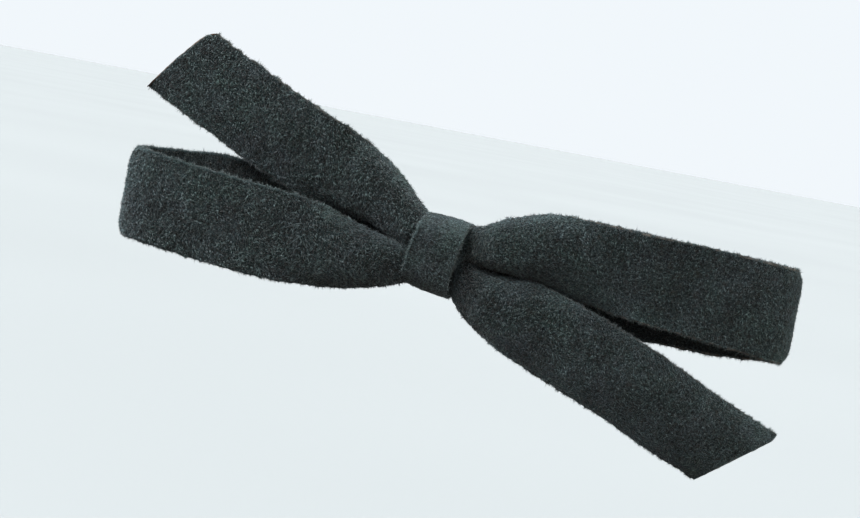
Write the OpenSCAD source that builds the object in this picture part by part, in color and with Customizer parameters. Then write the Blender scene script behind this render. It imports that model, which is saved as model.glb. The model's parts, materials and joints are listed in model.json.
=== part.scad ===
// Alligator hair clip with a flat double bow of suede strip.
// X runs along the clip and the bow's loops, Z is up as the bow is worn, and the bow faces -Y.
// The origin lies where the closed jaws meet, straight behind the knot, and the hair and head are at +Y.

/* [Strip] */
// Width of the strip that makes the loops
strip_w = 20; // [16:0.5:24]
// Width of the strip that makes the tails
tail_w = 19; // [16:0.5:22]
// Thickness of the suede
strip_t = 1; // [0.8:0.1:1.2]
// Reach of the left loop from the knot
loop_left = 75.5; // [66:0.5:84]
// Reach of the right loop from the knot
loop_right = 80.5; // [66:0.5:84]
// How far the loop ends lean back towards the head
lean_back = 4; // [0:0.5:6]

/* [Knot] */
// Height of a strip where the thread gathers it
waist_h = 8; // [7:0.25:8.5]
// Thickness of a gathered strip
waist_t = 1.9; // [1.5:0.1:1.9]
// Width of the centre band along the bow
band_w = 11; // [9:0.5:12]
// Height of the centre band over the bow
band_h = 16.8; // [16.5:0.1:19]
// Tilt of the centre band, seen from the front
band_tilt = 6; // [0:1:8]

/* [Clip] */
// Width of the upper arm at the hinge
arm_w = 9.5; // [9:0.1:11]
// Thickness of the stamped steel
sheet_t = 0.8; // [0.6:0.05:0.8]
// Depth of the gap between the closed arms
jaw_gap = 5.3; // [5.2:0.1:6]
// Angle between the handles
handle_angle = 25; // [22:1:28]
// Distance between two teeth
tooth_pitch = 2; // [1.5:0.25:2.5]
// Diameter of the hinge pin
pin_d = 2; // [1.8:0.1:2.1]
// Diameter of the spring wire
wire_d = 0.8; // [0.6:0.05:0.8]

/* [Hidden] */

suede = [0.09, 0.13, 0.12];
plated_steel = [0.78, 0.78, 0.76];
spring_steel = [0.55, 0.55, 0.56];
thread_green = [0.05, 0.08, 0.07];
hot_glue = [0.88, 0.86, 0.78];

// The three gathered layers at the knot, from front to back
front_y = -7.75;
tail_y = -5.7;
back_y = -3.65;
waist_half = 6.5;
thread_half = 2;
loop_flare = [32, 40]; // left and right distance over which a loop strip opens out
tail_flare = 24;
tail_cut = [16, 28]; // slant of the left and right cut ends
lean_from = 34;
fold_r = 3.2;
half_steps = 11;
fold_steps = 6;

// Heights of the strips' middle lines over the clip, from the left end to the right end
loop_front_z = [[-74, 0.8], [-45, -1.8], [-18, -4], [-waist_half, -1.8], [-thread_half, 0],
                [thread_half, 0], [waist_half, 1.8], [20, 4.6], [45, 2.5], [79, 1]];
loop_back_z = [[-74, 0.8], [-45, 2.2], [-18, 3], [-waist_half, 1.8], [-thread_half, 0],
               [thread_half, 0], [waist_half, -1.8], [20, -3], [45, -2], [79, 1]];
tail_z = [[-68, 33.2], [-44, 22.4], [-23, 13.4], [-11, 7], [-waist_half, 3], [-thread_half, 0],
          [thread_half, 0], [waist_half, -3], [15, -9.2], [32, -14.7], [57, -25.3], [73, -32.2]];
// Depths of the loop's two layers, by distance from the knot
loop_front_y = [[waist_half, front_y], [14, -8.5], [30, -10.3], [50, -10.7], [71, -9]];
loop_back_y = [[waist_half, back_y], [12, -2.6], [36, -2.3], [50, -2.2], [71, -2.6]];

band_t = 1.05;
band_front_y = -10.4;
band_back_y = 1.1;
band_r = 4;
band_back_r = 1.6;

thread_r = 0.2;
thread_turns = 5;
thread_pitch = 0.6;
thread_gap = 0.25; // from the gathered strips to the middle of the thread

hinge = [-14, 2.6];
tip_x = 28;
handle_x = -34;
ear_r = 2.2;
ear_foot = 3.5;
pin_gap = 0.02;
turn_gap = 0.05;
side_gap = 0.15;
tooth_gap = 0.15;
tooth_depth = 1.2;
tooth_from = 8;
tooth_to = 26;
bend_from = 12;
bend_steps = 8;
lower_w = arm_w - 2 * (sheet_t + side_gap);
rivet_r = 1.7;
rivet_h = 0.6;
grip_r = 0.35;
grip_count = 4;
grip_pitch = 1.8;

wire_r = wire_d / 2;
coil_r = 1.62;
coil_turns = 3.5;
coil_steps = 20;
coil_pitch = 0.92;
leg_len = 12;

function unit(v) = v / norm(v);
function ease(d, reach) = sin(90 * min(1, max(0, d) / reach));
function lean(x) = lean_back * pow(max(0, abs(x) - lean_from) / 45, 2);
function side(pair, x) = x < 0 ? pair[0] : pair[1];

// Width of a strip that is gathered at the knot and opens out over a distance
function opened(x, full, reach) = waist_h + (full - waist_h) * ease(abs(x) - waist_half, reach);
function gathered_t(w, full) = min(waist_t, strip_t * full / w);

// Places of a strip's sections from one end to the other, with four at the waist
function stations(first, last) = concat(
    [for (i = [0 : half_steps - 1]) first - (first + waist_half) * i / half_steps],
    [-waist_half, -thread_half, thread_half, waist_half],
    [for (i = [1 : half_steps]) waist_half + (last - waist_half) * i / half_steps]
);

// Four corners of a strip's section: up is across its width and out is through its thickness
function section(c, up, out, w, t) = [
    c + up * w / 2 + out * t / 2,
    c + up * w / 2 - out * t / 2,
    c - up * w / 2 - out * t / 2,
    c - up * w / 2 + out * t / 2,
];

function flat(lists) = [for (l = lists) each l];

// Two triangles between each pair of neighbouring corners of two neighbouring sections
function skin(count, sides, rings) = [
    for (i = [0 : rings - 1], j = [0 : sides - 1])
        let (a = i * sides + j, b = i * sides + (j + 1) % sides,
             c = ((i + 1) % count) * sides + j, d = ((i + 1) % count) * sides + (j + 1) % sides)
        each [[a, b, c], [b, d, c]]
];

module open_sweep(sections) {
    sides = len(sections[0]);
    count = len(sections);
    caps = [
        [for (j = [sides - 1 : -1 : 0]) j],
        [for (j = [0 : sides - 1]) (count - 1) * sides + j],
    ];
    polyhedron(flat(sections), concat(skin(count, sides, count - 1), caps), convexity = 6);
}

module closed_sweep(sections) {
    count = len(sections);
    polyhedron(flat(sections), skin(count, len(sections[0]), count), convexity = 6);
}

// Round wire along a path that never runs along the axis it winds around
module wire(path, r, sides, axis) {
    last = len(path) - 1;
    open_sweep([
        for (i = [0 : last])
            let (t = unit(path[min(i + 1, last)] - path[max(i - 1, 0)]),
                 n = unit(cross(t, axis)), b = cross(n, t))
            [for (k = [0 : sides - 1]) path[i] + r * (n * cos(360 * k / sides) + b * sin(360 * k / sides))]
    ]);
}

// Outline of a bent sheet of even thickness, to the left of a path
function bent_sheet(path, t) =
    let (last = len(path) - 1,
         normal = [for (i = [0 : last - 1]) let (d = unit(path[i + 1] - path[i])) [-d[1], d[0]]],
         mitre = [for (i = [0 : last])
             let (a = normal[max(i - 1, 0)], b = normal[min(i, last - 1)]) (a + b) / (1 + a * b)])
    concat(path, [for (i = [last : -1 : 0]) path[i] + mitre[i] * t]);

module loop_strip() {
    function layer(x, depths, heights, out_y) =
        let (w = opened(x, strip_w, side(loop_flare, x)))
        section([x, lookup(abs(x), depths) + lean(x), lookup(x, heights)],
                [0, 0, 1], [0, out_y, 0], w, gathered_t(w, strip_w));
    function fold(x, turn, a) =
        let (front = lookup(abs(x), loop_front_y), back = lookup(abs(x), loop_back_y),
             r = (back - front) / 2, share = (1 + a / 90) / 2,
             z = lookup(x, loop_front_z) * (1 - share) + lookup(x, loop_back_z) * share)
        section([x + turn * r * cos(a), (front + back) / 2 + lean(x) + r * sin(a), z],
                [0, 0, 1], [turn * cos(a), sin(a), 0], strip_w, strip_t);
    left_x = fold_r - loop_left;
    right_x = loop_right - fold_r;
    places = stations(left_x, right_x);
    last = len(places) - 1;
    front = [for (x = places) layer(x, loop_front_y, loop_front_z, -1)];
    back = [for (i = [last : -1 : 0]) layer(places[i], loop_back_y, loop_back_z, 1)];
    right_fold = [for (i = [1 : fold_steps - 1]) fold(right_x, 1, -90 + 180 * i / fold_steps)];
    left_fold = [for (i = [1 : fold_steps - 1]) fold(left_x, -1, 90 - 180 * i / fold_steps)];
    color(suede) closed_sweep(concat(front, right_fold, back, left_fold));
}

module tail_strip() {
    places = stations(tail_z[0][0], tail_z[len(tail_z) - 1][0]);
    last = len(places) - 1;
    function middle(x) = [x, tail_y + lean(x), lookup(x, tail_z)];
    function across(x) =
        let (along = unit([2, 0, lookup(x + 1, tail_z) - lookup(x - 1, tail_z)]))
        abs(x) > thread_half ? [-along[2], 0, along[0]] : [0, 0, 1];
    function cut(up, a) = [up[0] * cos(a) + up[2] * sin(a), 0, up[2] * cos(a) - up[0] * sin(a)] / cos(a);
    function slant(i) = i == 0 ? tail_cut[0] : i == last ? tail_cut[1] : 0;
    color(suede) open_sweep([
        for (i = [0 : last])
            let (x = places[i], w = opened(x, tail_w, tail_flare))
            section(middle(x), cut(across(x), slant(i)), [0, -1, 0], w, gathered_t(w, tail_w))
    ]);
}

// Rounded outline with a large radius in front and a small one behind, seen along the bow
module band_outline(inset) {
    half = band_h / 2 - inset;
    front = band_front_y + inset;
    back = band_back_y - inset;
    r = band_r - inset;
    back_r = band_back_r - inset;
    translate([front + r, -half]) square([back - back_r - front - r, 2 * half]);
    for (s = [-1, 1]) {
        translate([front + r, s * (half - r)]) circle(r, $fn = 48);
        translate([back - back_r, s * (half - back_r)]) circle(back_r, $fn = 32);
    }
    translate([front, r - half]) square([r, 2 * (half - r)]);
    translate([back - back_r, back_r - half]) square([back_r, 2 * (half - back_r)]);
}

module centre_band() {
    color(suede)
        rotate([0, band_tilt, 0])
            translate([-band_w / 2, 0, 0])
                rotate([90, 0, 90])
                    linear_extrude(band_w)
                        difference() {
                            band_outline(0);
                            band_outline(band_t);
                        }
}

module waist_thread() {
    r = thread_gap;
    half_y = (back_y - front_y + waist_t) / 2;
    half_z = waist_h / 2;
    corners = [[half_y, half_z], [-half_y, half_z], [-half_y, -half_z], [half_y, -half_z]];
    per_turn = 12;
    function at(i) =
        let (corner = floor(i / 3) % 4, a = 90 * corner + 45 * (i % 3))
        [(i / per_turn - thread_turns / 2) * thread_pitch,
         (front_y + back_y) / 2 + corners[corner][0] + r * cos(a),
         corners[corner][1] + r * sin(a)];
    color(thread_green) wire([for (i = [0 : thread_turns * per_turn]) at(i)], thread_r, 6, [1, 0, 0]);
}

module glue_pad() {
    pad = [9, 1.3, 7];
    round_r = 2.5;
    color(hot_glue)
        translate([0, -sheet_t - 0.05, 0])
            rotate([90, 0, 0])
                linear_extrude(pad[1] - 0.05) {
                    square([pad[0], pad[2] - 2 * round_r], center = true);
                    square([pad[0] - 2 * round_r, pad[2]], center = true);
                    for (sx = [-1, 1], sy = [-1, 1])
                        translate([sx * (pad[0] / 2 - round_r), sy * (pad[2] / 2 - round_r)])
                            circle(round_r, $fn = 32);
                }
}

// Plan of an arm: straight at the hinge, narrower towards a round tip, wider towards a round handle end
module arm_plan(hinge_w, tip_w, handle_w) {
    handle_from = hinge[0] - 4;
    tip_c = tip_x - tip_w / 2;
    corner = 3;
    polygon([
        [tip_c, tip_w / 2], [tooth_from, hinge_w / 2], [handle_from, hinge_w / 2],
        [handle_x + corner, handle_w / 2], [handle_x + corner, -handle_w / 2],
        [handle_from, -hinge_w / 2], [tooth_from, -hinge_w / 2], [tip_c, -tip_w / 2],
    ]);
    translate([tip_c, 0]) circle(tip_w / 2, $fn = 40);
    translate([handle_x, corner - handle_w / 2]) square([corner, handle_w - 2 * corner]);
    for (s = [-1, 1]) translate([handle_x + corner, s * (handle_w / 2 - corner)]) circle(corner, $fn = 32);
}

// One hinge ear in the XY plane: a round eye on a foot that spreads to the arm
module ear(foot_y) {
    translate(hinge) circle(ear_r, $fn = 40);
    polygon([
        [hinge[0] - ear_r, hinge[1]], [hinge[0] + ear_r, hinge[1]],
        [hinge[0] + ear_foot, foot_y], [hinge[0] - ear_foot, foot_y],
    ]);
}

// A pair of flat plates in the XY plane, one each side of the clip
module side_plates(outer_w) {
    for (z = [-outer_w / 2, outer_w / 2 - sheet_t]) translate([0, 0, z]) linear_extrude(sheet_t) children();
}

module hinge_hole(r) {
    translate([hinge[0], hinge[1], -arm_w]) cylinder(r = r, h = 2 * arm_w, $fn = 48);
}

// Raised ridges for the fingers, across a handle and along the direction it runs in
module grip_ridges(start, along, length) {
    for (i = [0 : grip_count - 1]) {
        at = start + along * grip_pitch * i;
        translate([at[0], at[1], -length / 2]) cylinder(r = grip_r, h = length, $fn = 20);
    }
}

module upper_jaw() {
    color(plated_steel) difference() {
        union() {
            rotate([90, 0, 0]) linear_extrude(sheet_t) arm_plan(arm_w, 7, 11);
            side_plates(arm_w) ear(-sheet_t / 2);
            grip_ridges([handle_x + 2.4, -sheet_t], [1, 0], 7);
        }
        hinge_hole(pin_d / 2 + pin_gap);
    }
}

module lower_jaw() {
    drop = jaw_gap - tooth_gap - 0.1;
    reach = tip_x - bend_from;
    bend_x = hinge[0] - 0.9;
    handle_len = (bend_x - handle_x) / cos(handle_angle);
    handle_dir = [-cos(handle_angle), sin(handle_angle)];
    heel = [bend_x, jaw_gap];
    arm_path = [for (i = [0 : bend_steps]) [bend_from + reach * i / bend_steps, jaw_gap - drop * pow(i / bend_steps, 2)]];
    path = concat([heel + handle_dir * handle_len, heel], arm_path);
    teeth = floor((tooth_to - tooth_from) / tooth_pitch);
    zigzag = [for (i = [0 : 2 * teeth])
        [tooth_from + i * tooth_pitch / 2, tooth_gap + (i % 2 == 0 ? tooth_depth : 0)]];
    back_edge = [for (i = [bend_steps - 1 : -1 : 0]) arm_path[i] + [0, sheet_t / 2]];
    rail = 1.2;
    color(plated_steel) difference() {
        union() {
            intersection() {
                translate([0, 0, -arm_w]) linear_extrude(2 * arm_w) polygon(bent_sheet(path, sheet_t));
                translate([0, 40, 0]) rotate([90, 0, 0]) linear_extrude(80) arm_plan(lower_w, 6, 10.4);
            }
            intersection() {
                side_plates(lower_w) polygon(concat(zigzag, back_edge, [[tooth_from, jaw_gap + sheet_t / 2]]));
                translate([0, 40, 0]) rotate([90, 0, 0]) linear_extrude(80) arm_plan(lower_w, 6, 10.4);
            }
            side_plates(lower_w) ear(jaw_gap + sheet_t / 2);
            side_plates(lower_w)
                translate([hinge[0], jaw_gap - rail]) square([tooth_from - hinge[0] + 1, rail + sheet_t / 2]);
            grip_ridges(heel + handle_dir * (handle_len - 2.4) + sheet_t * [handle_dir[1], -handle_dir[0]],
                        -handle_dir, 6.6);
        }
        hinge_hole(pin_d / 2 + turn_gap);
    }
}

module hinge_pin() {
    half = arm_w / 2 + 0.03;
    color(spring_steel) translate([hinge[0], hinge[1], 0]) {
        translate([0, 0, -half]) cylinder(d = pin_d, h = 2 * half, $fn = 48);
        for (s = [0, 1]) mirror([0, 0, s])
            translate([0, 0, half]) cylinder(r1 = rivet_r, r2 = rivet_r * 0.6, h = rivet_h, $fn = 48);
    }
}

// The coil winds around the pin, and its two legs run back and push the handles apart
module torsion_spring() {
    c = [hinge[0], hinge[1], 0];
    turns = coil_turns + handle_angle / 360;
    steps = round(turns * coil_steps);
    height = turns * coil_pitch;
    start = -90;
    function coil_at(i) =
        let (a = start + 360 * turns * i / steps)
        c + [coil_r * cos(a), coil_r * sin(a), height * (i / steps - 0.5)];
    first = coil_at(0);
    last = coil_at(steps);
    upper_end = [first[0] - leg_len, wire_r + 0.06, first[2]];
    face = [hinge[0] - 0.9, jaw_gap, 0] + leg_len * [-cos(handle_angle), sin(handle_angle), 0];
    lower_end = [face[0], face[1], last[2]] + (wire_r + 0.06) * [-sin(handle_angle), -cos(handle_angle), 0];
    color(spring_steel)
        wire(concat([upper_end], [for (i = [0 : steps]) coil_at(i)], [lower_end]), wire_r, 8, [0, 0, 1]);
}

loop_strip();
tail_strip();
centre_band();
waist_thread();
glue_pad();
upper_jaw();
hinge_pin();
torsion_spring();
lower_jaw();
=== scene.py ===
import json
import math

import bpy
import numpy as np
from mathutils import Matrix, Vector, noise


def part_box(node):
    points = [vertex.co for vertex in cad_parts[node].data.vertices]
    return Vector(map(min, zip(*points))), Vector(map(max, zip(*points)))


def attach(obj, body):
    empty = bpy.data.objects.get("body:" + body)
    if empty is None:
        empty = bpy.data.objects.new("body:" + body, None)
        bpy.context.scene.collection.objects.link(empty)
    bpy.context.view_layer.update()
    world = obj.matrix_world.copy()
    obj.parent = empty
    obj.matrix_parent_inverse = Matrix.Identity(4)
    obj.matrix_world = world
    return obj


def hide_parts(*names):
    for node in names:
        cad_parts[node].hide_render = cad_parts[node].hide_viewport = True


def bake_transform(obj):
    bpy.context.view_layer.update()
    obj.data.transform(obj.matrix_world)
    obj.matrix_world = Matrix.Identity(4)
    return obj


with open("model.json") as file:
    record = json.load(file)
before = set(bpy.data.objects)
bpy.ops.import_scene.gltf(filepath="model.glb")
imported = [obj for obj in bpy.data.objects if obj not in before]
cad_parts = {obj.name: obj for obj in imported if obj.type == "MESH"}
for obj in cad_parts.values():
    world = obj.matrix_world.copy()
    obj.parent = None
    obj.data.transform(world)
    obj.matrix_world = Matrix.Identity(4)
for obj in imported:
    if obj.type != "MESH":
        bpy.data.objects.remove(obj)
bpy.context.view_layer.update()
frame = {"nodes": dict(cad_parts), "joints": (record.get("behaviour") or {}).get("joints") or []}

# Lengths in this file are millimetres, as in the CAD source, until a mesh is written in metres.
MM = 0.001
UPPER = "bow_and_upper_arm"
X, Y, Z = np.eye(3)
noise.seed_set(1)  # without this, the directions from noise_vector would follow the clock


def in_mm(corner):
    """A corner in metres, turned into millimetres."""
    return np.array(corner, float) / MM


def cad_box(node):
    """Lowest and highest corner of a CAD node."""
    low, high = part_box(node)
    return in_mm(low), in_mm(high)


LOOP_LOW, LOOP_HIGH = cad_box("loop_strip")
BAND_LOW, BAND_HIGH = cad_box("centre_band")
PAD_LOW, PAD_HIGH = cad_box("glue_pad")
HINGE = in_mm(frame["joints"][0]["pos_m"])

# The suede strip that the loops and the tails are cut from
STRIP_W = 20.0
STRIP_T = 1.0
EDGE_BEND = 1.6  # above 1 a strip's section bends more near its edges than in the middle
CURL_BLEND = 7  # length over which a strip's curl changes
MOST_CURL = math.radians(170)
BACK_CURL = math.radians(70)
LEAN_FROM = 34  # distance from the middle where the bow starts to lean back
LEAN_OVER = 45
LEAN_BACK = 4

# Gathers at the knot
KNOT_HALF = 3.0
GATHERS = 3.0  # length over which a gathered strip opens out
WAIST_T = 1.9
WAIST_CURL = 0.3

# Mesh of a strip
STEP = 0.38  # spacing along and across a strip
HALF_FACE = int(STRIP_W / STEP) // 2
FACE_COUNT = 2 * HALF_FACE + 1  # points of a section on each face
EDGE_COUNT = 5  # points of a section on each cut edge
HALF_SIDES = FACE_COUNT + EDGE_COUNT
SIDES = 2 * HALF_SIDES
END_STEPS = 4  # rings that round off a cut end

# Loops' front and back layers: height of the middle line and height that shows, from left to right
LEFT_END = LOOP_LOW[0] - 0.4
RIGHT_END = LOOP_HIGH[0] - 0.3
FRONT_Z = [(-74, 0.2), (-59, -1.4), (-49, -2.3), (-36, -3.0), (-29, -3.5), (-24, -4.2), (-18, -4.6),
           (-12, -4.65), (-6.5, -3.7), (-2.5, 0), (2.5, 0), (6.5, 3.1), (13.5, 4.5), (22.5, 4.8), (32, 4.2),
           (44, 3.65), (52, 3.3), (61, 2.8), (79, 1.1)]
FRONT_H = [(-74, 21), (-47, 21.1), (-36, 20.5), (-29, 19.1), (-24, 17.0), (-18, 14.4), (-12, 11.3),
           (-6.5, 8.8), (-4.5, 8), (4.5, 8), (6.5, 8.6), (13.5, 12.1), (22.5, 15.8), (32, 19.1),
           (44, 19.9), (52, 20.3), (61, 20.8), (79, 21.5)]
BACK_Z = [(-74, 0.4), (-56, 2.0), (-45, 1.65), (-30, 2.8), (-18, 3.0), (-6.5, 2.2), (-2.5, 0), (2.5, 0),
          (6.5, -2.2), (18, -2.2), (30, -1.4), (48, -0.4), (62, -0.4), (79, 1.0)]
BACK_H = [(-74, 21), (-34, 20.4), (-22, 17.5), (-14, 13), (-6.5, 8.6), (-4.5, 8), (4.5, 8), (6.5, 8.6),
          (14, 13), (22, 17.5), (34, 20.2), (79, 21.5)]
# Depths of the middle lines: right of the band the strips dip behind its rim, and left of it they hardly do
FRONT_Y = [(-78, -9.2), (-67, -10.4), (-56, -10.3), (-36, -10.5), (-20, -10.4), (-12, -9.9), (-7, -8.8),
           (-3.5, -7.75), (3.5, -7.6), (6.6, -7.2), (9, -8.4), (13, -9.7), (20, -9.9), (30, -9.6),
           (40, -9.8), (56, -10.2), (68, -10.4), (78, -9.3)]
BACK_Y = [(-78, -2.9), (-56, -2.2), (-36, -1.9), (-12, -1.9), (-6.3, -2.2), (-3, -3.65),
          (3, -3.65), (6.3, -2.2), (12, -1.9), (36, -1.9), (56, -2.2), (78, -2.9)]
TAIL_Y = [(-75, -6.0), (-45, -6.0), (-30, -6.1), (-20, -7.2), (-12, -7.4), (-6.8, -8.0), (-3, -5.7),
          (3, -5.7), (6.6, -7.7), (9, -8.2), (13, -9.2), (20, -9.2), (28, -9.0), (38, -9.0), (50, -8.5),
          (75, -7.0)]
# Turn of a strip about its own length, in degrees: the upper edge comes forward and the lower one goes back
FRONT_TURN = [(-78, 0), (-50, 3), (-10, 3), (-6, 0), (9, 0), (15, 4), (22, 10), (32, 14), (42, 11),
              (54, 2), (79, 0)]
TAIL_TURN = [(-69, 2), (-50, 4), (-35, 8), (-18, 8), (-10, 3), (-6, 0), (6, 0), (15, 3), (30, 4),
             (50, 2), (74, 0)]
FOLD_DEPTH = 3.1  # half the distance between a loop's layers where its fold starts
FOLD_STEPS = int(math.pi * FOLD_DEPTH / STEP)
FOLD_FROM = 60  # distance from the middle past which the folds' start is eased
FOLD_OVER = 8
FOLD_BLEND = 8  # length over which a layer turns into a loop's fold
LIP = 0.8  # how far a fold's corners are drawn in
LIP_REACH = 3.0
LIP_FROM, LIP_OVER = 0.72, 0.28  # shares of a strip's half width

# Tails: height of the middle line and height that shows, from left to right
TAIL_Z = [(-68.9, 32.2), (-54.7, 25.7), (-44, 20.9), (-33, 16.4), (-23.3, 12.5), (-15, 8.9), (-10.9, 6.6),
          (-6.5, 4.0), (-2.5, 0), (2.5, 0), (6.5, -5.2), (9.6, -7.5), (15, -9.7), (21, -11.3),
          (31.7, -14.8), (40, -17.9), (47.5, -20.8), (57.3, -25.3), (73.4, -32.2)]
TAIL_H = [(-68.9, 19.6), (-31, 20.0), (-23, 17.4), (-17, 14.6), (-12, 11.9), (-6.5, 9.4), (-4.5, 8),
          (4.5, 8), (6.5, 9.4), (9.6, 11.8), (15, 15.4), (21, 18.4), (31, 19.2), (47, 19.2), (73.4, 19.0)]
# Cuts at the tails' left and right ends: slant in degrees, outward bow, and bluntness of the top corner
TAIL_CUT = (16, 0.45, 1.1), (28, 0.0, 0.7)
SLANT_REACH = 22  # length over which a tail's end is sheared to its slant
BOW_REACH = 5  # length over which a tail's end follows the cut's bow
CORNER_FROM, CORNER_OVER = 0.84, 0.16  # shares of a tail's half width

# Band
BAND_T = 1.05
BAND_CURL = math.radians(16)
BAND_HALF_W = (BAND_HIGH[0] - BAND_LOW[0]) / 2 - 0.9
BAND_WAVE = 0.02  # how much the band's width varies, as a share
BAND_CORNER = 5.2
BACK_CORNER = BAND_CORNER * 0.55
BAND_RINGS = 130  # rings once round the band
BAND_LAP = 6.0
LAP_EASE = 4  # rings over which a lapped end rises or sinks
LAP_RISE, LAP_SINK = 0.28, 0.25  # shares of the band's thickness
RIM_LIFT = 0.6, 0.35  # how far the left and the right rim stand up
BAND_TILT = math.radians(8.2)
BAND_BOW = 0.7  # how far the band's middle bends towards -X
BAND_SHIFT = -0.6
BAND_DROP = 0.45  # how far the band hangs below the middle of the knot
BAND_FLARE = 0.006  # how much longer the band's right side is, for each mm to the right
UNDER_BAND = (BAND_HIGH[0] - BAND_LOW[0]) / 2 - 1.2  # the strips have no nap nearer to the middle

# Spring
WIRE_R = 0.4
COIL_R = 1.62
COIL_PITCH = 0.92
HANDLE_DEG = 25  # slant of the lower arm's handle
COIL_TURNS = 3.5 + HANDLE_DEG / 360
COIL_POINTS = 40  # points of the wire's path in each turn
SPRING_LEG = 12.0
OFF_STEEL = WIRE_R + 0.06
LOWER_BEND = np.array([HINGE[0] - 0.9, 5.3, 0])  # where the lower arm bends to its handle


# ---------------------------------------------------------------- curves and meshes

def smooth_table(table):
    """A smooth curve through a table of (place, value) rows, with no overshoot."""
    at, value = np.array(table, float).T
    slope = np.diff(value) / np.diff(at)
    left, right = slope[:-1], slope[1:]
    inner = np.where(left * right > 0, 2 * left * right / np.where(left + right == 0, 1, left + right), 0)
    tangent = np.concatenate([slope[:1], inner, slope[-1:]])

    def curve(x):
        x = np.clip(x, at[0], at[-1])
        i = np.clip(np.searchsorted(at, x) - 1, 0, len(at) - 2)
        h = at[i + 1] - at[i]
        t = (x - at[i]) / h
        return ((2 * t**3 - 3 * t**2 + 1) * value[i] + (t**3 - 2 * t**2 + t) * h * tangent[i]
                + (3 * t**2 - 2 * t**3) * value[i + 1] + (t**3 - t**2) * h * tangent[i + 1])
    return curve


def unit(v):
    """The vectors at length one."""
    return v / np.maximum(np.linalg.norm(v, axis=-1, keepdims=True), 1e-12)


def lean(x):
    """How far back the bow leans at the places x."""
    return LEAN_BACK * (np.maximum(0, np.abs(x) - LEAN_FROM) / LEAN_OVER) ** 2


def grain(points, size, seed=0.0):
    """Smooth noise from -1 to 1 at each point, with features of about that size."""
    return np.array([noise.noise(Vector(p) / size + Vector((seed, seed, seed))) for p in points])


def curl_for(height, most):
    """The angle, up to the most, that a strip bends through across its width to show that height."""
    flat = np.linspace(0.02, most, 200)
    shown = np.cos(flat[:, None] / 2 * np.linspace(0, 1, 80) ** EDGE_BEND).mean(1)
    share = np.clip((height - STRIP_T) / (STRIP_W - STRIP_T), shown[-1], shown[0])
    return np.interp(share, shown[::-1], flat[::-1])


def strip_sections(middle, across, out, height, thick, curl):
    """A ring of points round a strip's section for each point of its middle line."""
    share = np.linspace(-1, 1, FACE_COUNT)
    angle = curl[:, None] / 2 * np.sign(share) * np.abs(share) ** EDGE_BEND

    def running(slope):
        """Running total along the section, from its middle."""
        total = np.cumsum((slope[:, 1:] + slope[:, :-1]) / 2, 1)
        total = np.concatenate([0 * total[:, :1], total], 1)
        return total - total[:, HALF_FACE, None]
    reach, depth = running(np.cos(angle)), running(np.sin(angle))
    size = (height - thick)[:, None] / 2 / reach[:, -1:]
    across, out, t = across[:, None], out[:, None], thick[:, None, None] / 2
    place = middle[:, None] + across * (reach * size)[..., None] - out * (depth * size)[..., None]
    c, s = np.cos(angle)[..., None], np.sin(angle)[..., None]
    up, side = out * c + across * s, across * c - out * s
    turn = np.linspace(0, math.pi, EDGE_COUNT + 2)[1:-1, None]
    top = place[:, -1:] + t * (up[:, -1:] * np.cos(turn) + side[:, -1:] * np.sin(turn))
    bottom = place[:, :1] - t * (up[:, :1] * np.cos(turn) + side[:, :1] * np.sin(turn))
    return np.concatenate([place + up * t, top, (place - up * t)[:, ::-1], bottom], 1)


def ring_faces(count, sides, closed):
    """Faces between neighbouring rings, and from the last ring to the first if closed."""
    last = count if closed else count - 1
    faces = []
    for i in range(last):
        a, b = i * sides, ((i + 1) % count) * sides
        for j in range(sides):
            k = (j + 1) % sides
            faces.append((a + j, b + j, b + k, a + k))
    return faces


def capped_faces(count, sides):
    """Faces of an open row of rings, with a cap on each end."""
    first, last = range(sides), range(count * sides - 1, (count - 1) * sides - 1, -1)
    return ring_faces(count, sides, closed=False) + [list(first), list(last)]


def make_mesh(name, points, faces):
    """A smooth-shaded mesh object in metres with its faces turned outwards."""
    mesh = bpy.data.meshes.new(name)
    mesh.from_pydata((np.asarray(points) * MM).tolist(), [], faces)
    mesh.validate()
    mesh.shade_smooth()
    piece = bpy.data.objects.new(name, mesh)
    bpy.context.collection.objects.link(piece)
    face_out(mesh)
    return piece


def face_out(mesh):
    """Flips all the faces of a closed mesh if its volume comes out negative."""
    mesh.calc_loop_triangles()
    co = vertices_of(mesh)
    tri = np.empty(len(mesh.loop_triangles) * 3, np.int32)
    mesh.loop_triangles.foreach_get("vertices", tri)
    a, b, c = co[tri.reshape(-1, 3)].transpose(1, 0, 2)
    if np.einsum("ij,ij->i", a, np.cross(b, c)).sum() < 0:
        mesh.flip_normals()


def vertices_of(mesh):
    """A mesh's vertices, in metres."""
    co = np.empty(len(mesh.vertices) * 3)
    mesh.vertices.foreach_get("co", co)
    return co.reshape(-1, 3)


def normals_of(mesh):
    """A mesh's vertex normals."""
    n = np.empty(len(mesh.vertices) * 3)
    mesh.vertex_normals.foreach_get("vector", n)
    return n.reshape(-1, 3)


def roughen(piece, layers, weight=1.0):
    """Moves each vertex along its normal by smooth noise: layers hold (size, height, seed)."""
    mesh = piece.data
    co = vertices_of(mesh) / MM
    shift = sum(height * grain(co, size, seed) for size, height, seed in layers) * weight
    co = co + normals_of(mesh) * shift[:, None]
    mesh.vertices.foreach_set("co", (co * MM).ravel())
    mesh.update()


# ---------------------------------------------------------------- the three suede pieces

OUTSIDE, EDGE, END, INSIDE = range(4)  # a strip's surfaces, as places in its list of materials


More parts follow.
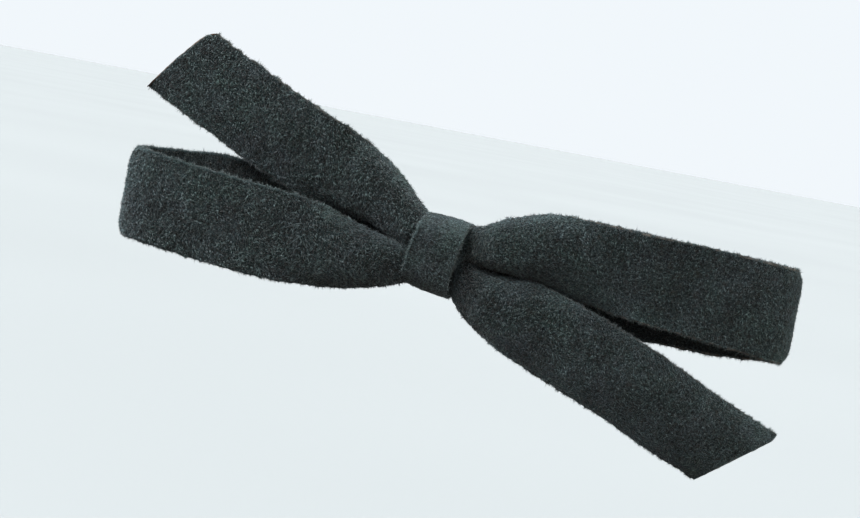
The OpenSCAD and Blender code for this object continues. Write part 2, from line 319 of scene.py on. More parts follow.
def layer(x, height_table, z_table, y_table, most):
    """Middle line, height, thickness and curl of one strip layer at the places x."""
    height = smooth_table(height_table)(x)
    curl = curl_for(height, most)
    window = np.hanning(2 * int(CURL_BLEND / STEP) + 1)
    curl = np.convolve(np.pad(curl, len(window) // 2, "edge"), window / window.sum(), "valid")
    opened = np.clip((np.abs(x) - KNOT_HALF) / GATHERS, 0, 1)
    opened = opened * opened * (3 - 2 * opened)
    curl = WAIST_CURL + (curl - WAIST_CURL) * opened
    thick = WAIST_T + (STRIP_T - WAIST_T) * opened
    y = smooth_table(y_table)(x) + lean(x)
    middle = np.stack([x, y, smooth_table(z_table)(x)], 1)
    return middle, height, thick, curl


def turned(across, out, degrees):
    """A strip's section directions, turned about its length so that the upper edge comes forward."""
    angle = np.radians(degrees)[:, None]
    return across * np.cos(angle) + out * np.sin(angle), out * np.cos(angle) - across * np.sin(angle)


def fold(end_x, turn, front, back):
    """Points half round from the front layer to the back one, at the loop's end on the side of turn."""
    depth = (back[1] - front[1]) / 2
    a = np.linspace(-math.pi / 2, math.pi / 2, FOLD_STEPS + 1)[1:-1]
    share = (1 + np.sin(a)) / 2
    centre_y = (front[1] + back[1]) / 2
    return np.stack([
        end_x + turn * depth * np.cos(a),
        centre_y + depth * np.sin(a),
        front[2] + (back[2] - front[2]) * share,
    ], 1)


def eased(middle):
    """The ring's middle line with the start of each fold made gradual."""
    window = np.hanning(2 * int(FOLD_BLEND / 2 / STEP) + 1)
    half = len(window) // 2
    padded = np.concatenate([middle[-half:], middle, middle[:half]])
    smooth = np.stack([np.convolve(row, window / window.sum(), "valid") for row in padded.T], 1)
    share = np.clip((np.abs(middle[:, :1]) - FOLD_FROM) / FOLD_OVER, 0, 1)
    return middle + share * (smooth - middle)


def loop_strip():
    """One strip, closed into a flattened ring and gathered in the middle: both loops."""
    left_x = LEFT_END + STRIP_T / 2 + FOLD_DEPTH
    right_x = RIGHT_END - STRIP_T / 2 - FOLD_DEPTH
    x = np.linspace(left_x, right_x, int((right_x - left_x) / STEP))
    front, front_h, front_t, front_c = layer(x, FRONT_H, FRONT_Z, FRONT_Y, MOST_CURL)
    back, back_h, back_t, back_c = layer(x, BACK_H, BACK_Z, BACK_Y, BACK_CURL)
    right = fold(right_x, 1, front[-1], back[-1])
    left = fold(left_x, -1, front[0], back[0])
    middle = eased(np.concatenate([front, right, back[::-1], left[::-1]]))
    share = np.linspace(0, 1, len(right) + 2)[1:-1]

    def round_ring(front_row, back_row):
        """A value all round the ring, from its values along the front and back layers."""
        right_row = front_row[-1] + (back_row[-1] - front_row[-1]) * share
        left_row = back_row[0] + (front_row[0] - back_row[0]) * share
        return np.concatenate([front_row, right_row, back_row[::-1], left_row])
    height, thick, curl = (round_ring(a, b) for a, b in (
        (front_h, back_h), (front_t, back_t), (front_c, back_c)))
    along = unit(np.roll(middle, -1, 0) - np.roll(middle, 1, 0))
    out = unit(np.cross(along, np.tile(Z, (len(middle), 1))))
    turn = np.zeros(len(middle))
    turn[:len(front)] = smooth_table(FRONT_TURN)(x)
    across, out = turned(np.tile(Z, (len(middle), 1)), out, turn)
    rings = strip_sections(middle, across, out, height, thick, curl)
    draw_in_corners(rings, middle, left_x, right_x)
    piece = make_mesh("suede_loops", rings.reshape(-1, 3), ring_faces(len(rings), SIDES, closed=True))
    return finish_suede(piece, SUEDE, LOOP_EDGE, inside=SHADED_INNER_SUEDE)


def draw_in_corners(rings, middle, left_x, right_x):
    """Pulls the strip's edges inwards at the two folds, which rounds the loops' corners."""
    x = rings[..., 0]
    past = np.maximum(x - right_x + LIP_REACH, 0) - np.maximum(left_x + LIP_REACH - x, 0)
    from_middle = np.abs(rings[..., 2] - middle[:, None, 2]) / (STRIP_W / 2)
    edge = np.clip((from_middle - LIP_FROM) / LIP_OVER, 0, 1.1)
    rings[..., 0] -= past / (2 * LIP_REACH) * LIP * edge**2


def tail_strip():
    """One straight strip with slanted cut ends, gathered in the middle: both tails."""
    ends = TAIL_Z[0][0], TAIL_Z[-1][0]
    x = np.linspace(ends[0], ends[1], int((ends[1] - ends[0]) / STEP))
    middle, height, thick, curl = layer(x, TAIL_H, TAIL_Z, TAIL_Y, MOST_CURL)
    along = unit(np.gradient(middle, axis=0) * [1, 0, 1])
    out = np.tile(-Y, (len(x), 1))
    across = unit(np.cross(along, out)) * -1
    across, out = turned(across * np.sign(across[:, 2:]), out, smooth_table(TAIL_TURN)(x))
    middle, across, out, height, thick, curl, along = (
        with_ends(v) for v in (middle, across, out, height, thick, curl, along))
    rings = strip_sections(middle, across, out, height, thick, curl)
    rings = slant_ends(rings, middle, across, along, height)
    round_off(rings, rings.mean(1), along, np.tile(-Y, (len(rings), 1)), STRIP_T / 2)
    piece = make_mesh("suede_tails", rings.reshape(-1, 3), capped_faces(len(rings), SIDES))
    return finish_suede(piece, SUEDE, TAIL_EDGE, ends=CUT_END)


def with_ends(rows):
    """The rows with the first and the last repeated, for the rings that round off a cut end."""
    return np.concatenate([np.repeat(rows[:1], END_STEPS, 0), rows, np.repeat(rows[-1:], END_STEPS, 0)])


def slant_ends(rings, middle, across, along, height):
    """The rings, sheared at both ends to slanted cuts that can be a little bowed and blunt at the top."""
    run = np.concatenate([[0], np.cumsum(np.linalg.norm(np.diff(middle, axis=0), axis=1))])
    offset = np.einsum("ijk,ik->ij", rings - middle[:, None], across)
    share = offset / (height[:, None] / 2)
    for slant, bow, blunt, sign, place in (*TAIL_CUT[0], -1, run), (*TAIL_CUT[1], 1, run[-1] - run):
        sheared = np.clip(1 - place / SLANT_REACH, 0, 1)[:, None] ** 1.5
        shear = sheared * offset * math.tan(math.radians(slant))
        outward = bow * (1 - share**2) - blunt * np.clip((share - CORNER_FROM) / CORNER_OVER, 0, 1)
        near = np.clip(1 - place / BOW_REACH, 0, 1)[:, None] ** 2
        rings = rings + (shear + sign * near * outward)[..., None] * along[:, None]
    return rings


def round_off(rings, centre, along, out, reach):
    """Rounds a strip's two cut ends: the last rings reach outwards and get thinner."""
    for k in range(END_STEPS):
        a = math.pi / 2 * (END_STEPS - k) / END_STEPS
        for i, sign in (k, -1), (len(rings) - 1 - k, 1):
            depth = (rings[i] - centre[i]) @ out[i]
            rings[i] += sign * along[i] * reach * math.sin(a)
            rings[i] -= out[i] * (depth * (1 - max(0.25, math.cos(a))))[:, None]


def finish_suede(piece, outside, edges, ends=None, inside=None):
    """Uneven nap, tufted edges and materials on a strip; a closed strip has no material for its ends."""
    on_edge = np.arange(len(piece.data.vertices)) % HALF_SIDES >= FACE_COUNT
    roughen(piece, [(10.0, 0.22, 1.0), (2.4, 0.08, 5.0), (1.15, 0.13, 9.0)])
    roughen(piece, [(1.3, 0.24, 13.0), (0.7, 0.16, 17.0)], on_edge.astype(float))
    face = np.arange(len(piece.data.polygons))
    surface = np.where(face % SIDES < HALF_SIDES, OUTSIDE, INSIDE).astype(np.int32)
    surface[face % HALF_SIDES >= FACE_COUNT - 1] = EDGE
    if ends:
        at_end = (END_STEPS - 1) * SIDES
        surface[(face < at_end) | (face >= len(face) - 2 - at_end)] = END
    for material in (outside, edges, ends or edges, inside or outside):
        piece.data.materials.append(material)
    piece.data.polygons.foreach_set("material_index", surface)
    return piece


def band_outline(half_z, front, back):
    """Even points round the knot in the YZ plane, from the middle of the back, and the length round."""
    corners = [(back, half_z, 0), (front, half_z, 1), (front, -half_z, 2), (back, -half_z, 3)]
    points = [(back, 0.0)]
    for y, z, k in corners:
        r = BAND_CORNER if y == front else BACK_CORNER
        cy = y + r * (1 if y == front else -1)
        cz = z - r * np.sign(z)
        for a in np.linspace(0, math.pi / 2, 10):
            turn = a + k * math.pi / 2
            points.append((cy + r * math.cos(turn), cz + r * math.sin(turn)))
    points.append((back, 0.0))
    points = np.array(points)
    length = np.concatenate([[0], np.cumsum(np.linalg.norm(np.diff(points, axis=0), axis=1))])
    s = np.linspace(0, length[-1], BAND_RINGS)
    return np.stack([np.interp(s, length, points[:, k]) for k in (0, 1)], 1), length[-1]


def tilted(points):
    """The band's points, turned about Y with the top towards +X, bowed, and longer at the right side."""
    x, y, z = np.moveaxis(points, -1, 0)
    z = z * (1 + BAND_FLARE * x)
    c, s = math.cos(BAND_TILT), math.sin(BAND_TILT)
    bow = BAND_SHIFT - BAND_BOW * (1 - (z / BAND_HIGH[2]) ** 2)
    return np.stack([x * c + z * s + bow, y, z * c - x * s - BAND_DROP], -1)


def rim_lift(rings):
    """How far each point of the band stands up near its rims, least at the corners of its outline."""
    across = rings[..., 0] / BAND_HALF_W
    height = np.where(across < 0, *RIM_LIFT) * np.clip((9.5 - np.abs(rings[..., 2])) / 3, 0.2, 1)
    return height * np.clip((np.abs(across) - 0.6) / 0.4, 0, 1.1) ** 2


def centre_band():
    """Short strip round the knot and the upper arm, its ends lapped at the back, and its flat length."""
    half_z = (BAND_HIGH[2] - BAND_LOW[2]) / 2 - 0.1 - BAND_T / 2
    outline, around = band_outline(half_z, BAND_LOW[1] + BAND_T / 2, BAND_HIGH[1] - BAND_T / 2)
    extra = int(BAND_LAP * len(outline) / around)
    path = np.concatenate([outline[:-1], outline[:extra]])
    step = np.arange(len(path))
    under = 1 - np.clip((step - extra) / LAP_EASE, 0, 1)
    over = np.clip((step - len(outline) + 1 + LAP_EASE) / LAP_EASE, 0, 1)
    along = unit(np.gradient(path, axis=0))
    out = np.stack([along[:, 1], -along[:, 0]], 1)
    path = path + out * ((LAP_RISE * over - LAP_SINK * under) * BAND_T)[:, None]
    middle, out, along = (np.insert(v, 0, 0, axis=1) for v in (path, out, along))
    across = np.tile(X, (len(middle), 1))
    height = 2 * BAND_HALF_W * (1 + BAND_WAVE * np.sin(step / 9))
    thick = BAND_T * (1 - 0.5 * np.maximum(under, over))
    curl = np.full(len(middle), BAND_CURL)
    middle, across, out, height, thick, curl, along = (
        with_ends(v) for v in (middle, across, out, height, thick, curl, along))
    rings = strip_sections(middle, across, out, height, thick, curl)
    round_off(rings, middle, along, out, BAND_T / 4)
    rings += out[:, None] * rim_lift(rings)[..., None]
    piece = make_mesh("suede_band", tilted(rings).reshape(-1, 3), capped_faces(len(rings), SIDES))
    return finish_suede(piece, LIGHTENED_BAND_SUEDE, BAND_EDGE, ends=BAND_EDGE), around + BAND_LAP


# ---------------------------------------------------------------- fibres

def sample_surface(piece, count, rng, weight):
    """Random points on a piece's faces with their normals; weight gives each triangle its share by area."""
    mesh = piece.data
    mesh.calc_loop_triangles()
    n = len(mesh.loop_triangles)
    tri = np.empty(n * 3, np.int32)
    owner = np.empty(n, np.int32)
    mesh.loop_triangles.foreach_get("vertices", tri)
    mesh.loop_triangles.foreach_get("polygon_index", owner)
    tri = tri.reshape(-1, 3)
    co, normal = vertices_of(mesh) / MM, normals_of(mesh)
    a, b, c = co[tri].transpose(1, 0, 2)
    area = np.linalg.norm(np.cross(b - a, c - a), axis=1) / 2
    share = area * weight(a, owner)
    pick = rng.choice(n, count, p=share / share.sum())
    u, v = rng.random((2, count))
    flip = u + v > 1
    u[flip], v[flip] = 1 - u[flip], 1 - v[flip]
    w = 1 - u - v
    chosen = tri[pick]
    place = w[:, None] * co[chosen[:, 0]] + u[:, None] * co[chosen[:, 1]] + v[:, None] * co[chosen[:, 2]]
    facing = unit(normal[chosen].mean(1))
    return place, facing


def hairs(name, place, rise, length, radius, material, rng):
    """Short straight hairs, each a closed three-sided spike."""
    count = len(place)
    side = unit(np.cross(rise, rng.normal(0, 1, (count, 3))))
    other = np.cross(rise, side)
    rows = [place + (side * math.cos(a) + other * math.sin(a)) * radius[:, None]
            for a in (0, 2 * math.pi / 3, 4 * math.pi / 3)]
    points = np.stack(rows + [place + rise * length[:, None]], 1).reshape(-1, 3)
    pattern = [(0, 1, 3), (1, 2, 3), (2, 0, 3), (2, 1, 0)]
    faces = [tuple(i * 4 + v for v in face) for i in range(count) for face in pattern]
    piece = make_mesh(name, points, faces)
    piece.data.materials.append(material)
    return piece


def edge_fuzz(name, strip, count, material, rng, weight):
    """Hairs that stand out from the cut edges in ragged tufts."""
    tuft = 5
    place, facing = sample_surface(strip, count // tuft, rng, weight)
    size = rng.gamma(4, 0.105, len(place))
    slope = rng.normal(0, 1, place.shape)
    place, facing, size, slope = (np.repeat(v, tuft, 0) for v in (place, facing, size, slope))
    place = place + rng.normal(0, 0.11, place.shape) - facing * 0.2
    rise = unit(facing + 0.5 * slope + 0.2 * rng.normal(0, 1, place.shape))
    length = np.minimum(size * rng.uniform(0.6, 1.1, len(place)), 1.1) + 0.25
    return hairs(name, place, rise, length, rng.uniform(0.026, 0.05, len(place)), material, rng)


def face_nap(name, strip, count, material, rng, weight, size):
    """Locks of nap that lie over, mostly brushed downwards, on the strip's faces."""
    place, facing = sample_surface(strip, count, rng, weight)
    flow = unit(np.array([noise.noise_vector(Vector(p) / 6.0) for p in place])) + [0.3, 0, -0.7]
    flow = flow + 0.6 * rng.normal(0, 1, place.shape)
    flow -= facing * np.einsum("ij,ij->i", flow, facing)[:, None]
    rise = unit(unit(flow) + facing * rng.uniform(0.1, 0.7, (count, 1)))
    size = size * (1 - 0.3 * np.clip(place[:, 0] / 50, 0, 1))
    length = size * rng.uniform(0.45, 1.15, count)
    radius = size * rng.uniform(0.06, 0.11, count)
    return hairs(name, place - facing * 0.03, rise, length, radius, material, rng)


def nap_of(strip, name, counts, fibre, inner_fibre, seed, size=1.0, covered=0.0):
    """A strip's nap, with counts for its cut edges, outside and inside, and none where it is covered."""
    rng = np.random.default_rng(seed)
    surface = np.empty(len(strip.data.polygons), np.int32)
    strip.data.polygons.foreach_get("material_index", surface)

    def shown(kind):
        """A weight that keeps only that kind of surface, where it is not covered."""
        return lambda corner, owner: (surface[owner] == kind) & (np.abs(corner[:, 0]) >= covered)
    pieces = [edge_fuzz(name + "_edge_fuzz", strip, counts[0], fibre, rng, shown(EDGE)),
              face_nap(name + "_outer_nap", strip, counts[1], fibre, rng, shown(OUTSIDE), size)]
    if counts[2]:
        pieces.append(
            face_nap(name + "_inner_nap", strip, counts[2], inner_fibre, rng, shown(INSIDE), size))
    return pieces


# ---------------------------------------------------------------- clip parts

def tube(name, path, radius, sides, reference):
    """A round wire swept along a path, with slightly domed ends."""
    path = np.asarray(path, float)
    along = unit(np.gradient(path, axis=0))
    ends = [path[0] - along[0] * radius * 0.4, path[-1] + along[-1] * radius * 0.4]
    path = np.concatenate([ends[:1], path, ends[1:]])
    along = np.concatenate([along[:1], along, along[-1:]])
    side = unit(np.cross(along, np.tile(reference, (len(path), 1))))
    other = np.cross(side, along)
    size = np.full(len(path), radius)
    size[[0, -1]] = radius * 0.6
    a = np.linspace(0, 2 * math.pi, sides, endpoint=False)
    rings = path[:, None] + size[:, None, None] * (
        side[:, None] * np.cos(a)[None, :, None] + other[:, None] * np.sin(a)[None, :, None])
    return make_mesh(name, rings.reshape(-1, 3), capped_faces(len(rings), sides))


def torsion_spring():
    """Wire coil round the pin with a leg on each handle, and the coil's height."""
    height = COIL_TURNS * COIL_PITCH
    handle = math.radians(HANDLE_DEG)
    share = np.linspace(0, 1, int(COIL_TURNS * COIL_POINTS) + 1)
    a = -math.pi / 2 + 2 * math.pi * COIL_TURNS * share
    coil = np.stack([
        HINGE[0] + COIL_R * np.cos(a),
        HINGE[1] + COIL_R * np.sin(a),
        height * (share - 0.5),
    ], 1)
    upper_end = np.array([coil[0, 0] - SPRING_LEG, OFF_STEEL, coil[0, 2]])
    lower_end = LOWER_BEND + SPRING_LEG * np.array([-math.cos(handle), math.sin(handle), 0])
    lower_end = lower_end - OFF_STEEL * np.array([math.sin(handle), math.cos(handle), 0])
    lower_end[2] = coil[-1, 2]
    straight = np.linspace(0, 1, 14)[:-1, None]
    upper_leg = upper_end + (coil[0] - upper_end) * straight
    lower_leg = lower_end + (coil[-1] - lower_end) * straight
    piece = tube("spring_wire", np.concatenate([upper_leg, coil, lower_leg[::-1]]), WIRE_R, 14, Z)
    piece.data.materials.append(SPRING)
    return piece, height


def glue_pad():
    """Pad of hot glue, squashed flat on the steel and rounded where it squeezed out."""
    centre, half = (PAD_LOW + PAD_HIGH) / 2, (PAD_HIGH - PAD_LOW) / 2
    rows, turns = 24, 56
    points = []
    for i in range(1, rows):
        polar = math.pi * i / rows
        for j in range(turns):
            a = 2 * math.pi * j / turns
            wide = math.sin(polar)
            ball = np.array([wide * math.cos(a), -math.cos(polar), wide * math.sin(a)])
            square = np.sign(ball) * np.abs(ball) ** 0.55
            points.append(centre + square * half)
    poles = [centre - half * Y, centre + half * Y]
    faces = ring_faces(rows - 1, turns, closed=False)
    first, last = len(points), len(points) + 1
    faces += [(first, j, (j + 1) % turns) for j in range(turns)]
    base = (rows - 2) * turns
    faces += [(last, base + (j + 1) % turns, base + j) for j in range(turns)]
    piece = make_mesh("hot_glue", np.array(points + poles), faces)
    roughen(piece, [(2.5, 0.12, 3.0)])
    piece.data.materials.append(GLUE)
    return piece


# ---------------------------------------------------------------- materials

class Nodes:
    """A material's nodes, made and linked in short calls."""

    def __init__(self, name):
        self.material = bpy.data.materials.new(name)
        self.material.use_nodes = True
        self.tree = self.material.node_tree
        self.surface = self.tree.nodes["Principled BSDF"]
        place = self.tree.nodes.new("ShaderNodeTexCoord")
        scale = self.tree.nodes.new("ShaderNodeVectorMath")
        scale.operation = "SCALE"
        scale.inputs["Scale"].default_value = 1 / MM
        self.tree.links.new(place.outputs["Object"], scale.inputs[0])
        self.place_mm = scale.outputs[0]

    def feed(self, socket, value):
        """Links a socket to the value, or sets it."""
        if isinstance(value, bpy.types.NodeSocket):
            self.tree.links.new(value, socket)
        else:
            socket.default_value = value

    def set(self, **values):
        """Feeds inputs of the Principled BSDF, with _ for the spaces in their names."""
        for name, value in values.items():
            self.feed(self.surface.inputs[name.replace("_", " ")], value)

    def noise(self, size, detail=2.0, roughness=0.5, vector=None, distortion=0.0):
        """Noise with features of that size in mm."""
        node = self.tree.nodes.new("ShaderNodeTexNoise")
        self.feed(node.inputs["Vector"], vector or self.place_mm)
        node.inputs["Scale"].default_value = 1 / size
        node.inputs["Detail"].default_value = detail
        node.inputs["Roughness"].default_value = roughness
        node.inputs["Distortion"].default_value = distortion
        return node.outputs["Fac"]

    def stretched(self, x, y, z):
        """The place in mm, times a factor for each axis; features grow where it is below 1."""
        node = self.tree.nodes.new("ShaderNodeVectorMath")
        node.operation = "MULTIPLY"
        self.feed(node.inputs[0], self.place_mm)
        node.inputs[1].default_value = (x, y, z)
        return node.outputs[0]

    def maths(self, operation, a, b, c=None):
        """The operation's result on two or three values."""
        node = self.tree.nodes.new("ShaderNodeMath")
        node.operation = operation
        for k, value in enumerate((a, b, c)):
            if value is not None:
                self.feed(node.inputs[k], value)
        return node.outputs[0]

    def between(self, value, low, high, to=(0.0, 1.0)):
        """The value's range from low to high, mapped to another range and held there."""
        node = self.tree.nodes.new("ShaderNodeMapRange")
        self.feed(node.inputs["Value"], value)
        for socket, limit in zip(("From Min", "From Max", "To Min", "To Max"), (low, high, *to)):
            node.inputs[socket].default_value = limit
        return node.outputs["Result"]

    def ramp(self, value, *stops):
        """The colour at the value, between stops of (value, colour)."""
        node = self.tree.nodes.new("ShaderNodeValToRGB")
        elements = node.color_ramp.elements
        for k, (at, colour) in enumerate(stops):
            stop = elements[k] if k < 2 else elements.new(at)
            stop.position = at
            stop.color = (*colour, 1)
        self.feed(node.inputs["Fac"], value)
        return node.outputs["Color"]

    def mix(self, share, a, b, blend="MIX"):
        """The colour a, blended with b by that share."""
        node = self.tree.nodes.new("ShaderNodeMix")
        node.data_type = "RGBA"
        node.blend_type = blend
        self.feed(node.inputs["Factor"], share)
        for key, value in (("A", a), ("B", b)):
            socket = [s for s in node.inputs if s.name == key and s.type == "RGBA"][0]
            self.feed(socket, value if isinstance(value, bpy.types.NodeSocket) else (*value, 1))
        return [s for s in node.outputs if s.type == "RGBA"][0]

    def bump(self, height, depth_mm, strength=1.0, normal=None):
        """The normal over a relief of that depth."""
        node = self.tree.nodes.new("ShaderNodeBump")
        node.inputs["Strength"].default_value = strength
        node.inputs["Distance"].default_value = depth_mm * MM
        self.feed(node.inputs["Height"], height)
        if normal is not None:
            self.feed(node.inputs["Normal"], normal)
        return node.outputs["Normal"]


def drifted_with_painted_shade(n, colour):
    """The colour, drifting between purplish and greenish, with painted shade just right of the band, where
    the band's shadow falls.
    """
    drift = n.ramp(n.noise(12.0, 6.0, 0.75), (0.35, (1.07, 0.95, 1.04)), (0.65, (0.94, 1.04, 0.97)))
    place = n.tree.nodes.new("ShaderNodeSeparateXYZ")
    n.feed(place.inputs[0], n.place_mm)
    # painted shade: from 5 to 14 mm right of the middle the nap is darkened and warmed, standing in for the
    # band's shadow
    painted_shade = n.ramp(n.between(place.outputs["X"], 7.5, 14), (0.0, (0.64, 0.54, 0.52)), (1.0, (1, 1, 1)))
    beside = n.between(place.outputs["X"], 5.0, 7.5)
    colour = n.mix(1.0, colour, drift, "MULTIPLY")
    return n.mix(beside, colour, n.mix(1.0, colour, painted_shade, "MULTIPLY"))


def suede_colour(n, gain=1.0):
    """Blue-green lights and brown-black shadows of the nap, with the noise of its clumps and its grain."""
    clumps = n.noise(0.55, 3.0, 0.7, distortion=0.9)
    fine = n.noise(0.24, 2.0, 0.6)
    patches = n.noise(7.0, 2.0, 0.5)
    tone = n.maths("MULTIPLY_ADD", fine, 0.45, n.maths("MULTIPLY", clumps, 0.75))
    tone = n.maths("MULTIPLY_ADD", patches, 0.18, n.maths("SUBTRACT", tone, 0.19))
    colour = n.ramp(tone, (0.34, np.multiply((0.0050, 0.0050, 0.0045), gain)),
                    (0.72, np.multiply((0.125, 0.182, 0.184), gain)),
                    (0.52, np.multiply((0.024, 0.031, 0.031), gain)))
    warm = n.ramp(n.noise(1.3, 3.0, 0.6), (0.52, (0, 0, 0)), (0.68, (1, 1, 1)))
    colour = n.mix(n.maths("MULTIPLY", warm, 0.5), colour, (0.040, 0.032, 0.024))
    return drifted_with_painted_shade(n, colour), clumps, fine


def suede_material(name, gain):
    """Face of the suede; gain is one factor for its colour, or one each for red, green and blue."""
    n = Nodes(name)
    colour, clumps, fine = suede_colour(n, gain)
    height = n.maths("MULTIPLY_ADD", fine, 0.45, clumps)
    n.set(Base_Color=colour, Roughness=0.95, Normal=n.bump(height, 1.3))
    n.set(Sheen_Weight=0.4, Sheen_Roughness=0.32, Sheen_Tint=(0.58, 0.76, 0.80, 1), Specular_IOR_Level=0.08)
    return n.material


def cut_edge_material(name, brown_left, brown_right, bare_colour=(0.27, 0.22, 0.18)):
    """Raw edge: brown core between tufts of nap, with so much of it bare on the left and the right."""
    n = Nodes(name)
    colour, clumps, _ = suede_colour(n)
    colour = n.mix(0.35, colour, (0.085, 0.125, 0.130))
    core = n.ramp(n.noise(1.4, 3.0, 0.6), (0.40, (0, 0, 0)), (0.54, (1, 1, 1)))
    brown = n.ramp(clumps, (0.3, (0.060, 0.048, 0.038)), (0.7, bare_colour))
    across = n.tree.nodes.new("ShaderNodeSeparateXYZ")
    n.feed(across.inputs[0], n.place_mm)
    side = n.between(across.outputs["X"], -12, 12, (brown_left, brown_right))
    bare = n.maths("MULTIPLY", core, side)
    n.set(Base_Color=n.mix(bare, colour, brown), Roughness=0.97)
    n.set(Normal=n.bump(clumps, 0.5), Sheen_Weight=0.25, Sheen_Roughness=0.35, Specular_IOR_Level=0.08)
    return n.material


def fibre_material(name, gain):
    """Hairs from near black to pale blue-green: a tone of its own for each hair, in drifting patches."""
    n = Nodes(name)
    hair = n.tree.nodes.new("ShaderNodeNewGeometry").outputs["Random Per Island"]
    lock = n.noise(0.45, 2.0, 0.6)
    patch = n.maths("MULTIPLY", n.noise(7.0, 2.0), 0.16)
    tone = n.maths("MULTIPLY_ADD", lock, 0.52, patch)
    tone = n.maths("MULTIPLY_ADD", hair, 0.36, n.maths("SUBTRACT", tone, 0.035))
    colour = n.ramp(tone, (0.38, np.multiply((0.008, 0.0075, 0.006), gain)),
                    (0.68, np.multiply((0.235, 0.325, 0.322), gain)),
                    (0.51, np.multiply((0.037, 0.047, 0.045), gain)))
    n.set(Base_Color=drifted_with_painted_shade(n, colour), Roughness=0.85, Sheen_Weight=0.3, Sheen_Roughness=0.4,
          Specular_IOR_Level=0.1)
    return n.material


def thread_material():
    """Matt thread, with the turns of its ply."""
    n = Nodes("thread")
    ply = n.noise(0.25, 2.0, 0.6, n.stretched(1.0, 3.0, 3.0))
    n.set(Base_Color=n.ramp(ply, (0.3, (0.008, 0.014, 0.013)), (0.7, (0.05, 0.075, 0.07))))
    n.set(Roughness=0.8, Normal=n.bump(ply, 0.08), Sheen_Weight=0.2)
    return n.material


def glue_material():
    """Cloudy off-white hot glue."""
    n = Nodes("hot_glue")
    cloud = n.noise(1.8, 3.0, 0.55)
    n.set(Base_Color=n.ramp(cloud, (0.3, (0.62, 0.57, 0.45)), (0.7, (0.85, 0.82, 0.72))))
    n.set(Roughness=n.maths("MULTIPLY_ADD", cloud, 0.25, 0.2), Normal=n.bump(cloud, 0.15))
    n.set(Subsurface_Weight=0.3, Subsurface_Scale=0.002)
    return n.material


def steel_material(name, colour, worn, grain_mm):
    """Plated steel: fine rolled grain along X, and duller places where it was handled."""
    n = Nodes(name)
    lines = n.noise(grain_mm, 3.0, 0.65, n.stretched(0.03, 1.0, 1.0))
    rubbed = n.ramp(n.noise(3.2, 4.0, 0.65), (0.50, (0, 0, 0)), (0.72, (1, 1, 1)))
    pits = n.noise(0.35, 2.0, 0.7)
    tone = n.mix(n.maths("MULTIPLY", rubbed, 0.45), colour, worn)
    tone = n.mix(n.maths("MULTIPLY", lines, 0.35), tone, worn)
    rough = n.maths("MULTIPLY_ADD", rubbed, 0.10, n.maths("MULTIPLY", lines, 0.26))
    n.set(Base_Color=tone, Metallic=1.0, Roughness=n.maths("ADD", rough, 0.08))
    n.set(Normal=n.bump(lines, 0.02, 0.7, n.bump(pits, 0.008, 0.4)))
    return n.material


SUEDE = suede_material("suede", 1.0)
# painted shade: the inside of the loops gets a darker, browner copy of the suede, for the shade inside the
# loops
SHADED_INNER_SUEDE = suede_material("inner_suede_painted_shade", (0.48, 0.38, 0.34))
# painted light: the band gets a copy of the suede 1.5 times lighter, for its brighter, brushed sheen
LIGHTENED_BAND_SUEDE = suede_material("band_suede_painted_light", 1.5)
LOOP_EDGE = cut_edge_material("loop_cut_edge", 0.0, 0.6)
TAIL_EDGE = cut_edge_material("tail_cut_edge", 0.4, 0.25)
BAND_EDGE = cut_edge_material("band_cut_edge", 0.0, 0.12)
CUT_END = cut_edge_material("tail_cut_end", 2.0, 0.1, (0.19, 0.105, 0.065))
FIBRE = fibre_material("suede_fibre", 1.0)
# painted light: the band's nap gets the fibre colours 1.5 times lighter, for the same brighter sheen
LIGHTENED_BAND_FIBRE = fibre_material("band_fibre_painted_light", 1.5)
# painted shade: the nap inside the loops gets the same darker, browner copy of the fibre colours
SHADED_INNER_FIBRE = fibre_material("inner_fibre", (0.42, 0.33, 0.29))
THREAD = thread_material()
GLUE = glue_material()
PLATED = steel_material("plated_steel", (0.44, 0.425, 0.395), (0.28, 0.265, 0.245), 0.13)
SPRING = steel_material("spring_steel", (0.46, 0.46, 0.47), (0.28, 0.27, 0.26), 0.1)


def dress_cad_node(node, material, edge_mm):
    """Material and softened edges on a CAD node that stays."""
    piece = frame["nodes"][node]
    piece.data.materials.clear()
    piece.data.materials.append(material)
    if edge_mm:
        soften = piece.modifiers.new("edges", "BEVEL")
        soften.width = edge_mm * MM
        soften.segments = 2
        soften.limit_method = "ANGLE"
        soften.angle_limit = math.radians(50)


# ---------------------------------------------------------------- stage, light and camera

def pale_floor():
    """Plain pale floor, far below the object and wide enough to reach the horizon."""
    size, floor_z = 40.0, -0.16
    mesh = bpy.data.meshes.new("pale_floor")
    corners = [(x * size, y * size, floor_z) for x, y in ((-1, -1), (1, -1), (1, 1), (-1, 1))]
    mesh.from_pydata(corners, [], [(0, 1, 2, 3)])
    floor = bpy.data.objects.new("pale_floor", mesh)
    bpy.context.collection.objects.link(floor)
    n = Nodes("pale_floor")
    colour = n.ramp(n.noise(900.0, 1.0), (0.3, (0.370, 0.380, 0.380)), (0.7, (0.385, 0.395, 0.395)))
    n.set(Base_Color=colour, Roughness=0.9, Specular_IOR_Level=0.0)
    mesh.materials.append(n.material)
    floor.visible_diffuse = False


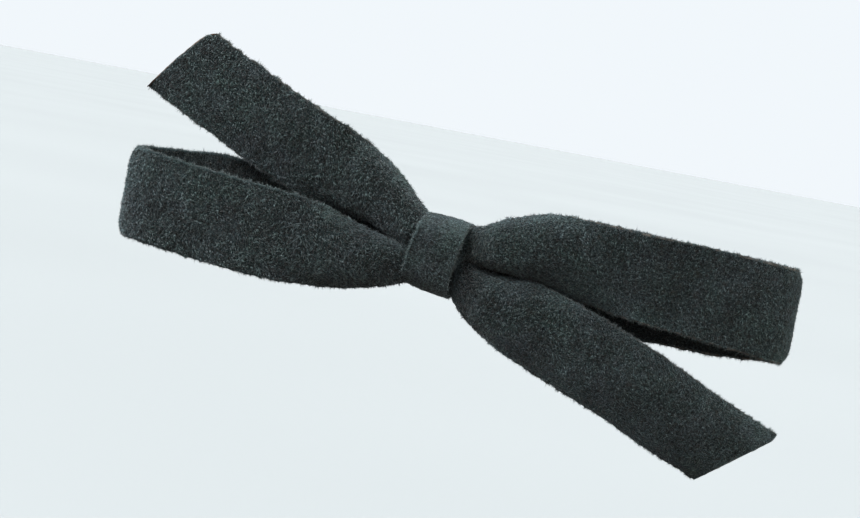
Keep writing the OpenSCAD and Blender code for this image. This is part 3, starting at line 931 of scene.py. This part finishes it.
def studio_world():
    """Pale all round to the camera; as a light, bright overhead and dim below."""
    world = bpy.data.worlds.new("studio")
    world.use_nodes = True
    tree = world.node_tree
    make, link = tree.nodes.new, tree.links.new
    background = tree.nodes["Background"]
    place, split = make("ShaderNodeTexCoord"), make("ShaderNodeSeparateXYZ")
    ramp, rays, choose = make("ShaderNodeValToRGB"), make("ShaderNodeLightPath"), make("ShaderNodeMix")
    span = make("ShaderNodeMapRange")
    link(place.outputs["Generated"], split.inputs[0])
    link(split.outputs["Z"], span.inputs["Value"])
    span.inputs["From Min"].default_value = -1
    link(span.outputs["Result"], ramp.inputs["Fac"])
    low, high = ramp.color_ramp.elements
    low.position, low.color = 0.25, (0.19, 0.16, 0.14, 1)
    high.position, high.color = 0.95, (0.56, 0.60, 0.64, 1)
    choose.data_type = "RGBA"
    link(rays.outputs["Is Camera Ray"], choose.inputs["Factor"])
    colours = [socket for socket in choose.inputs if socket.type == "RGBA"]
    link(ramp.outputs["Color"], colours[0])
    colours[1].default_value = (0.88, 0.93, 0.97, 1)
    link([socket for socket in choose.outputs if socket.type == "RGBA"][0], background.inputs["Color"])
    background.inputs["Strength"].default_value = 1.0
    bpy.context.scene.world = world


def soft_sun(name, towards, softness, power, colour):
    """Soft light from far off, shining from that direction."""
    light = bpy.data.lights.new(name, "SUN")
    light.angle = math.radians(softness)
    light.energy = power
    light.color = colour
    lamp = bpy.data.objects.new(name, light)
    lamp.rotation_euler = Vector(towards).to_track_quat("Z", "Y").to_euler()
    bpy.context.collection.objects.link(lamp)


def lighting():
    """Overcast light from a window, with soft light from the left, the right and behind."""
    studio_world()
    soft_sun("window", (-0.46, -0.42, 0.78), 28, 2.4, (0.96, 0.99, 1.0))
    soft_sun("left", (-0.97, 0.04, 0.22), 36, 6.4, (0.84, 0.94, 1.0))
    soft_sun("right", (0.95, 0.05, 0.25), 40, 3.0, (0.97, 1.0, 0.95))
    soft_sun("behind", (0.10, 0.62, 0.78), 35, 1.7, (0.95, 0.98, 1.0))


def camera():
    """The photograph's view of the bow: nearly face-on, a little from the right and above, and rolled."""
    azimuth, elevation, roll = (math.radians(v) for v in (9.0, 4.0, 10.7))
    distance = 0.45
    aim = Vector((-0.0015, BAND_LOW[1] * MM, -0.0014))
    back = Vector((math.sin(azimuth) * math.cos(elevation), -math.cos(azimuth) * math.cos(elevation),
                   math.sin(elevation)))
    right = Vector((0, 0, 1)).cross(back).normalized()
    up = back.cross(right)
    rolled_right = right * math.cos(roll) + up * math.sin(roll)
    rolled_up = up * math.cos(roll) - right * math.sin(roll)
    data = bpy.data.cameras.new("camera")
    data.lens = 83.8
    data.clip_start = 0.01
    view = bpy.data.objects.new("camera", data)
    view.matrix_world = Matrix.Translation(aim + back * distance) @ Matrix(
        (rolled_right, rolled_up, back)).transposed().to_4x4()
    bpy.context.collection.objects.link(view)
    bpy.context.scene.camera = view


# ---------------------------------------------------------------- the object

def build():
    """Makes every piece, hides the CAD nodes they replace, hangs the suede, nap and glue on the bow's body,
    and dresses the CAD nodes that stay.
    """
    loops = loop_strip()
    tails = tail_strip()
    band, band_length = centre_band()
    loop_nap = nap_of(loops, "loop", (46000, 46000, 10000), FIBRE, SHADED_INNER_FIBRE, 11, covered=UNDER_BAND)
    tail_nap = nap_of(tails, "tail", (25000, 24000, 16000), FIBRE, FIBRE, 12, covered=UNDER_BAND)
    band_nap = nap_of(band, "band", (6500, 11000, 0), LIGHTENED_BAND_FIBRE, LIGHTENED_BAND_FIBRE, 13, size=0.55)
    glue = glue_pad()
    spring, coil_height = torsion_spring()
    for piece, node in ((loops, "loop_strip"), (tails, "tail_strip"), (band, "centre_band"),
                        (glue, "glue_pad"), (spring, "torsion_spring")):
        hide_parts(node)
    for piece in (loops, tails, band, *loop_nap, *tail_nap, *band_nap):
        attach(piece, UPPER)
    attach(glue, UPPER)
    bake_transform(spring)
    dress_cad_node("waist_thread", THREAD, 0)
    dress_cad_node("upper_jaw", PLATED, 0.12)
    dress_cad_node("lower_jaw", PLATED, 0.12)
    dress_cad_node("hinge_pin", PLATED, 0.1)


camera()
lighting()
pale_floor()
build()
bpy.context.scene.view_settings.view_transform = "Standard"
